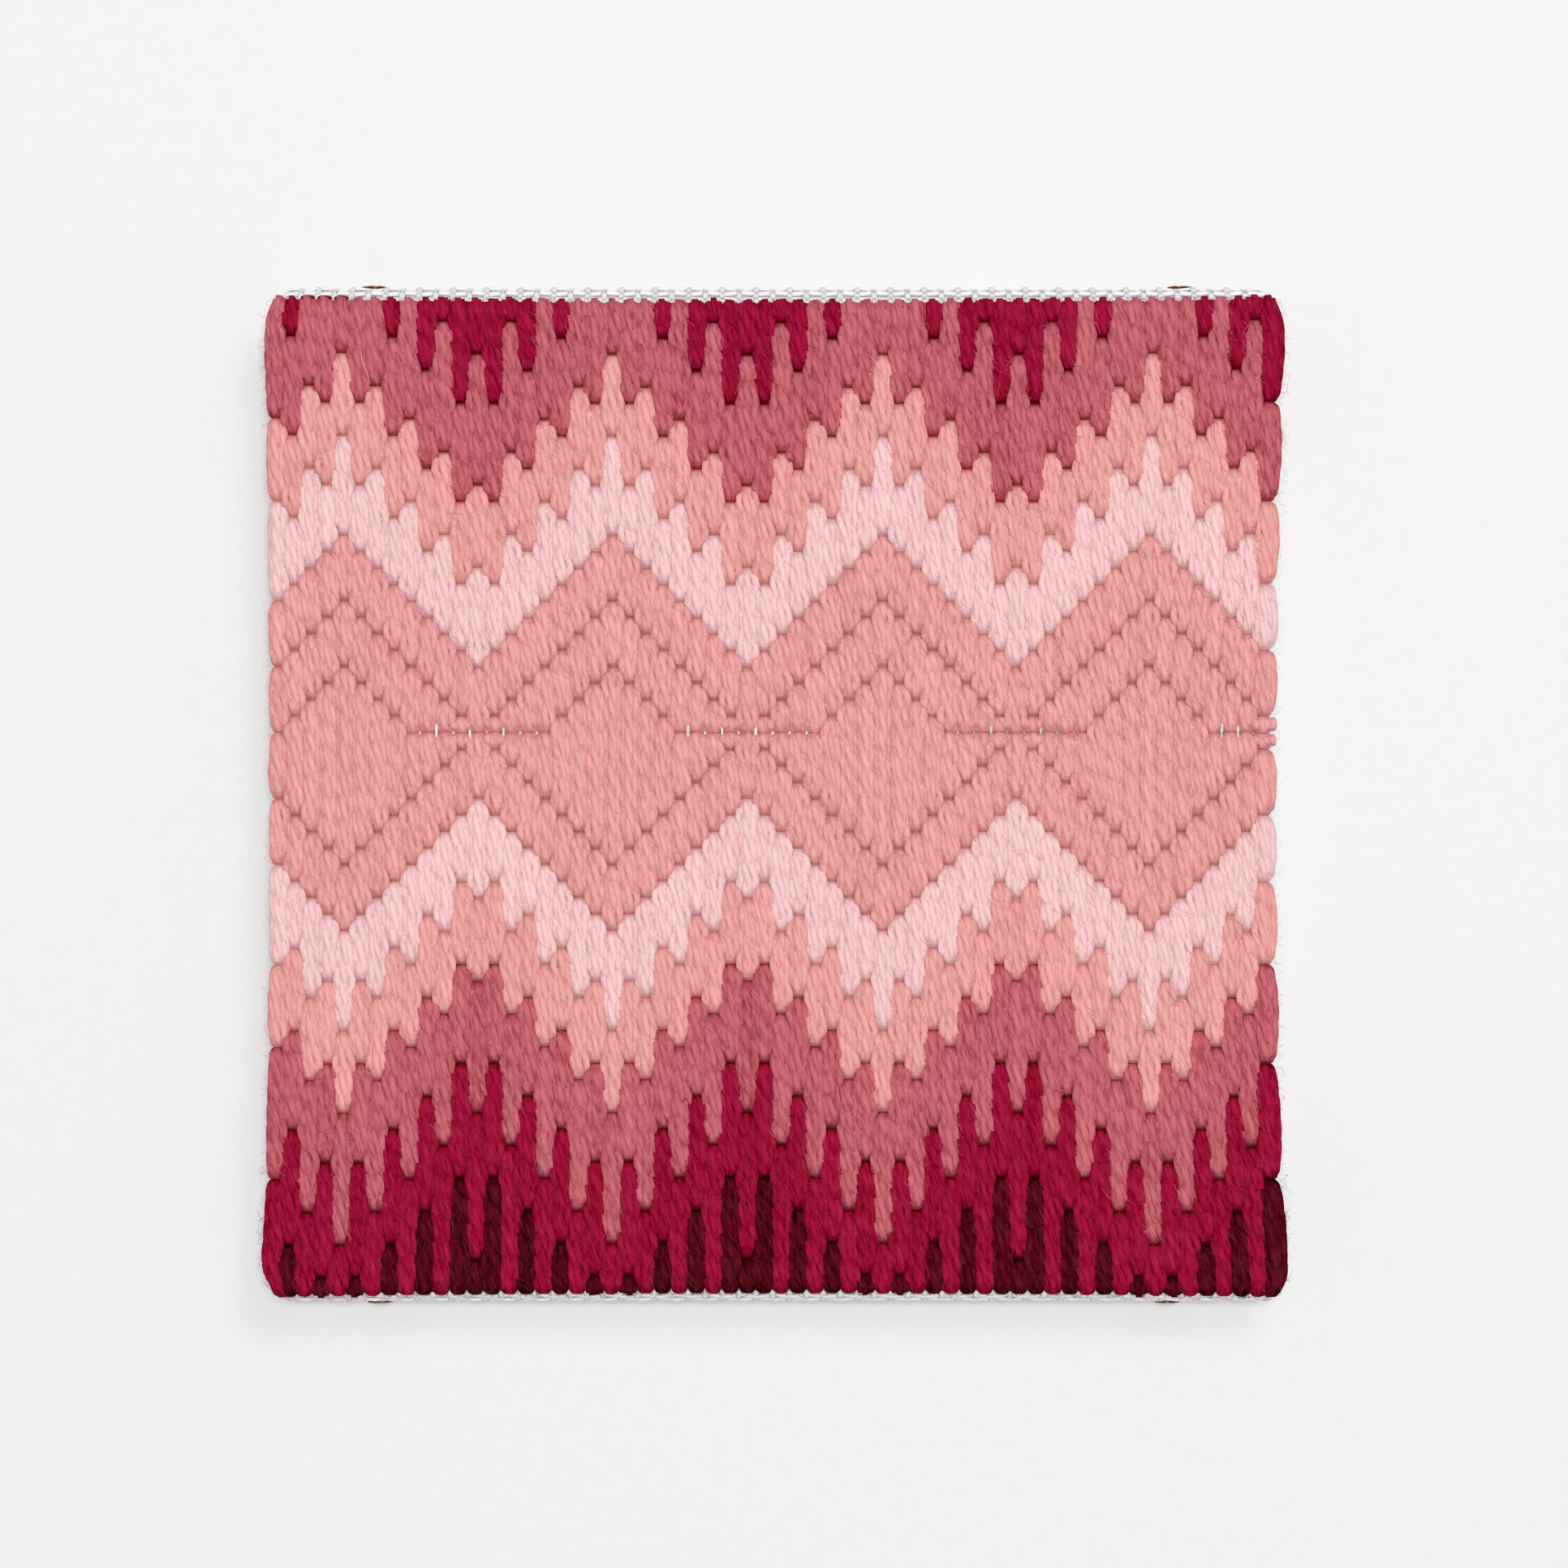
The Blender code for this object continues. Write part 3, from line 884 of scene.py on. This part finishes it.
def sideways(line):
    """A direction across a loose hair at each of its points."""
    tangent = np.gradient(line, axis=0)
    across = np.cross(tangent, (0.0, 0.0, 1.0)) + NUDGE
    return across / np.linalg.norm(across, axis=1, keepdims=True)


def add_hair(tubes, line, thickness):
    tubes.add(
        line,
        sideways(line),
        HAIR_RADIUS * thickness,
        HAIR_RADIUS * thickness,
        HAIR,
        tone=random.uniform(*HAIR_HIGHLIGHT_TONES),
    )


def add_hairs(tubes, column, start, end):
    """Hairs that lie on a stitch, and those that stand out where it is at an edge."""
    share = np.linspace(0, 1, 3)
    arch = np.sin(math.pi * share)
    surface = STRAND_LEVEL + STRAND_HEIGHT - HAIR_SINK
    count = round((start - end) / ROW_PITCH * HAIRS_PER_ROW + random.uniform(-0.5, 0.5))
    for _ in range(count):
        length = random.uniform(*HAIR_LENGTHS)
        lean = math.radians(random.normal(HAIR_LEAN, HAIR_SPREAD))
        bow = random.normal(0, HAIR_BOW) * length * arch
        middle = random.uniform(end + MIDDLE_INSIDE[1], start - MIDDLE_INSIDE[0])
        path = middle + (0.5 - share) * length * math.cos(lean)
        path = np.clip(path, end + HAIR_INSIDE[1], start - HAIR_INSIDE[0])
        path -= share * CLAMPED_APART
        across = column_place(column) + random.uniform(-HAIR_STRAY, HAIR_STRAY)
        across = across + (share - 0.5) * length * math.sin(lean) + bow
        level = surface + random.uniform(*HAIR_RISE) * arch
        add_hair(tubes, on_face(across, path, level), random.uniform(*HAIR_THICKNESS))
    if column in HALO_ROOTS:
        add_side_halo(tubes, column, start, end)
    for edge, field_edge, sign in ((start, row_place(0), 1), (end, row_place(ROWS), -1)):
        if abs(edge - field_edge) < ROW_PITCH / 2:
            add_end_halo(tubes, column, edge, sign)


def add_side_halo(tubes, column, start, end):
    """The hairs that stand out past one side of the field."""
    share = np.linspace(0, 1, len(HALO_PROFILE))
    arch = np.sin(math.pi * share)
    side, root = HALO_ROOTS[column]
    for _ in range(round((start - end) / MM * HALO_PER_MM)):
        reach = random.uniform(*HALO_REACH)
        curl = random.normal(0, HALO_CURL) * share + random.normal(0, HALO_BOW) * arch
        path = random.uniform(end, start) + curl
        across = column_place(column) + side * (root + reach * np.array(HALO_PROFILE))
        level = random.uniform(*HALO_LEVEL) + random.normal(0, HALO_RISE) * share
        add_hair(tubes, on_face(across, path, level), random.uniform(*HALO_THICKNESS))


def add_end_halo(tubes, column, edge, sign):
    """The hairs of a stitch that stand out past the field's upper or lower edge."""
    share = np.linspace(0, 1, 5)
    arch = np.sin(math.pi * share)
    for _ in range(random.integers(*END_HAIRS)):
        path = edge - sign * (END_ROOT - random.uniform(*END_REACH) * share)
        across = column_place(column) + random.uniform(-END_STRAY, END_STRAY)
        across = across + random.normal(0, END_CURL) * share
        across = across + random.normal(0, END_BOW) * arch
        level = random.uniform(*END_LEVEL) * (1 - END_SINK * share)
        add_hair(tubes, on_face(across, path, level), random.uniform(*HALO_THICKNESS))


def add_loose_fibre(tubes):
    """A pale fibre that lies across the rose stitches near the upper left corner."""
    surface = STRAND_LEVEL + STRAND_HEIGHT + LOOSE_FIBRE_RISE
    across, along = np.array(LOOSE_FIBRE).T * MM
    add_hair(tubes, on_face(across, along, surface), LOOSE_FIBRE_THICKNESS)


def add_carried_wool(tubes):
    """Crimson wool, carried behind the canvas, that shows at the tops of rose stitches."""
    share = np.linspace(-1, 1, 5)
    path = row_place(0) + UPPER_BULGE - CARRIED_IN - CARRIED_BOW * share**2
    for column in CARRIED_OVER:
        across = column_place(column) + CARRIED_HALF_LENGTH * share
        tubes.add(
            on_face(across, path, CARRIED_LEVEL),
            (0.0, 1.0, 0.0),
            CARRIED_HALF_WIDTH,
            CARRIED_HALF_HEIGHT,
            ROUND_THREAD,
            # painted shade, as it lies deep behind the stitches' tops
            depth=1.0,
        )


def make_wool():
    """One piece for each band of the pattern."""
    pieces = []
    for name, first, last, color in BANDS:
        tubes = Tubes()
        for column in range(COLUMNS):
            rows = boundaries(column)
            if rows[last] > rows[first]:
                add_stitch(tubes, column, rows[first], rows[last])
        if name == "wool_pink_upper":
            add_loose_fibre(tubes)
        if name == "wool_crimson_upper":
            add_carried_wool(tubes)
        piece = tubes.make(name, wool(name.replace("wool", "dyed_wool"), color))
        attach(piece, BODY)
        pieces.append(piece)
    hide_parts("wool_stitches")
    return pieces


# --- the canvas ---------------------------------------------------------------------------


def woven_rise(places, phase):
    """Over and under: a crossing every whole place."""
    return THREAD_RISE * np.cos(math.pi * (places + phase))


def crossing_places(count):
    """Places along a thread in units of the pitch, fewest where the wool hides it."""
    edge = np.arange(-ROWS_OVER_EDGE, ROWS_UNDER_EDGE, 0.5)
    margin = np.arange(-ROWS_BEYOND, -ROWS_OVER_EDGE, 1.0)
    hidden = np.arange(ROWS_UNDER_EDGE, count - ROWS_UNDER_EDGE, ROWS_HIDDEN)
    under = np.sort([*hidden, *MID_PLACES])
    return np.concatenate([margin, edge, under, count - edge[::-1], count - margin[::-1]])


def add_thread(tubes, line, across, half_width):
    tone = random.normal(0, THREAD_TONES)
    tubes.add(line, across, half_width, THREAD_HALF_HEIGHT, ROUND_THREAD, tone=tone)


def add_long_thread(tubes, index, places, wrap, place_of, cross, reaches, along_y):
    """A thread that runs over the face and round both edges, at a crosswise place.

    The mounting draws it in sideways alone, so that it stays on the straight walls.
    """
    path = place_of(places)
    keep = (path <= reaches[0]) & (path >= -reaches[1])
    path = path[keep]
    rise = woven_rise(places[keep] - 0.5, index)
    out, up, tilt, lift = wrap.at(path)
    if along_y:
        by_mid_row = np.abs(places[keep] - MID_ROW) < SPECK_REACH
        height = random.uniform(*SPECK_RISE)
        height *= 1 if random.uniform(0, 1) < SPECK_SHARE else LOW_SPECK
        rise += by_mid_row * height
        x, _ = drawn_in(np.full(len(path), cross), out)
        line = np.stack((x, out + tilt * rise, up + lift * rise), axis=1)
        half_width = UPRIGHT_HALF_WIDTH * (1 - SPECK_NARROWING * by_mid_row)
        add_thread(tubes, line, (-1.0, 0.0, 0.0), half_width)
    else:
        _, y = drawn_in(out, np.full(len(path), cross))
        line = np.stack((out + tilt * rise, y, up + lift * rise), axis=1)
        add_thread(tubes, line, (0.0, -1.0, 0.0), LEVEL_HALF_WIDTH)


def add_loop(tubes, level):
    """A thread that runs round the panel's wall, or round its margin at the back."""
    paths = (
        (SIDES, column_place(COLUMNS - 1) + (level + 0.5) * COLUMN_PITCH),
        (ENDS, row_place(0) + (level + 0.5) * ROW_PITCH),
        (SIDES, column_place(0) - (level + 0.5) * COLUMN_PITCH),
        (ENDS, row_place(ROWS) - (level + 0.5) * ROW_PITCH),
    )
    walls = []
    for wrap, path in paths:
        path = np.clip(path, -wrap.lengths[1], wrap.lengths[0])
        out, up, tilt, lift = (float(value[0]) for value in wrap.at(path))
        walls.append((abs(out), up, abs(tilt), lift))
    faces_down = walls[1][3] < -0.5
    radius = MARGIN_CORNER if faces_down else WALL_CORNER
    line = []
    normals = []
    for turn, (wall, after) in enumerate(zip(walls, walls[1:] + walls[:1])):
        before = walls[turn - 1]
        angle = turn * math.pi / 2
        outward = np.array((math.cos(angle), math.sin(angle)))
        along = np.array((-math.sin(angle), math.cos(angle)))
        pitch = ROW_PITCH if turn % 2 == 0 else COLUMN_PITCH
        low = -(before[0] - radius)
        high = after[0] - radius
        count = round((high - low) / pitch)
        for i in range(count + 1):
            rise = THREAD_RISE * (1 if (i + level + turn) % 2 else -1)
            place = along * (low + (high - low) * i / count)
            place += outward * (wall[0] + wall[2] * rise)
            line.append((*place, wall[1] + wall[3] * rise))
            normals.append((*(outward * wall[2]), wall[3]))
        for share in CORNER_STEPS:
            bend = share * math.pi / 2
            turned = outward * math.cos(bend) + along * math.sin(bend)
            place = along * high + outward * (wall[0] - radius) + radius * turned
            tilt = wall[2] + (after[2] - wall[2]) * share
            line.append((*place, wall[1] + (after[1] - wall[1]) * share))
            normals.append((*(turned * tilt), wall[3] + (after[3] - wall[3]) * share))
    line.append(line[0])
    normals.append(normals[0])
    tangent = np.gradient(np.array(line), axis=0)
    across = np.cross(tangent, np.array(normals))
    across /= np.linalg.norm(across, axis=1, keepdims=True)
    add_thread(tubes, line, across, LEVEL_HALF_WIDTH)


def margin_reaches(wrap, other_wrap, cross):
    """How far round a thread goes at each end before the mitre at the back."""
    inside = max(min(other_wrap.walls) - abs(cross), LEAST_MARGIN)
    cut = max(MARGIN - inside, 0.0)
    return [length - cut + random.uniform(-MARGIN_RAGGEDNESS, 0.0) for length in wrap.lengths]


def make_canvas():
    """Every thread of the canvas: those along Y, those along X, and those round the walls."""
    tubes = Tubes()
    places = crossing_places(ROWS)
    for index in range(COLUMNS + 1):
        cross = column_place(index - 0.5)
        if abs(cross) < SIDES.walls[0] - WALL_CORNER:
            reaches = margin_reaches(ENDS, SIDES, cross)
            add_long_thread(tubes, index, places, ENDS, row_place, cross, reaches, True)
    places = crossing_places(COLUMNS)
    for index in range(1, ROWS + 2):
        cross = row_place(index - 0.5)
        if abs(cross) < ENDS.walls[0] - WALL_CORNER:
            reaches = margin_reaches(SIDES, ENDS, cross)
            add_long_thread(tubes, index, places, SIDES, column_place, cross, reaches, False)
    for level in range(WALL_LOOPS):
        add_loop(tubes, level)
    canvas = tubes.make("canvas_threads", cotton("cotton_thread"))
    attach(canvas, BODY)
    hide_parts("canvas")
    return canvas


# --- the carried-over pieces --------------------------------------------------------------


def dress(node, look):
    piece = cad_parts[node]
    piece.data.materials.clear()
    piece.data.materials.append(look)


def dress_frame():
    dress("mounting_board", primed_wood("primed_board"))
    copper = coppered_steel("coppered_steel")
    for node in ("tack_upper_left", "tack_upper_right", "tack_lower_left", "tack_lower_right"):
        dress(node, copper)


# --- floor, light and camera --------------------------------------------------------------


def make_floor():
    bpy.ops.mesh.primitive_plane_add(size=FLOOR_SIZE, location=(0, 0, 0))
    floor = bpy.context.object
    floor.name = "floor"
    floor.data.materials.append(paper("plain_paper"))


def area_light(name, place, size, energy):
    data = bpy.data.lights.new(name, "AREA")
    data.shape = "DISK"
    data.size = size
    data.energy = energy
    lamp = bpy.data.objects.new(name, data)
    lamp.location = place
    lamp.rotation_euler = (-Vector(place)).to_track_quat("-Z", "Y").to_euler()
    bpy.context.scene.collection.objects.link(lamp)


def make_light():
    world = bpy.data.worlds.new("studio")
    world.use_nodes = True
    background = world.node_tree.nodes["Background"]
    background.inputs["Color"].default_value = (1.0, 1.0, 1.0, 1.0)
    background.inputs["Strength"].default_value = WORLD_STRENGTH
    bpy.context.scene.world = world
    for lamp in LAMPS:
        area_light(*lamp)


def make_camera():
    data = bpy.data.cameras.new("camera")
    data.sensor_width = SENSOR
    data.lens = SENSOR * CAMERA_DISTANCE / FRAME_WIDTH
    data.clip_start = NEAREST
    camera = bpy.data.objects.new("camera", data)
    camera.location = (*CAMERA_AIM, FACE_HEIGHT + CAMERA_DISTANCE)
    bpy.context.scene.collection.objects.link(camera)
    bpy.context.scene.camera = camera


make_camera()
dress_frame()
canvas = make_canvas()
stitches = make_wool()
make_floor()
make_light()
bpy.context.scene.view_settings.view_transform = "Standard"
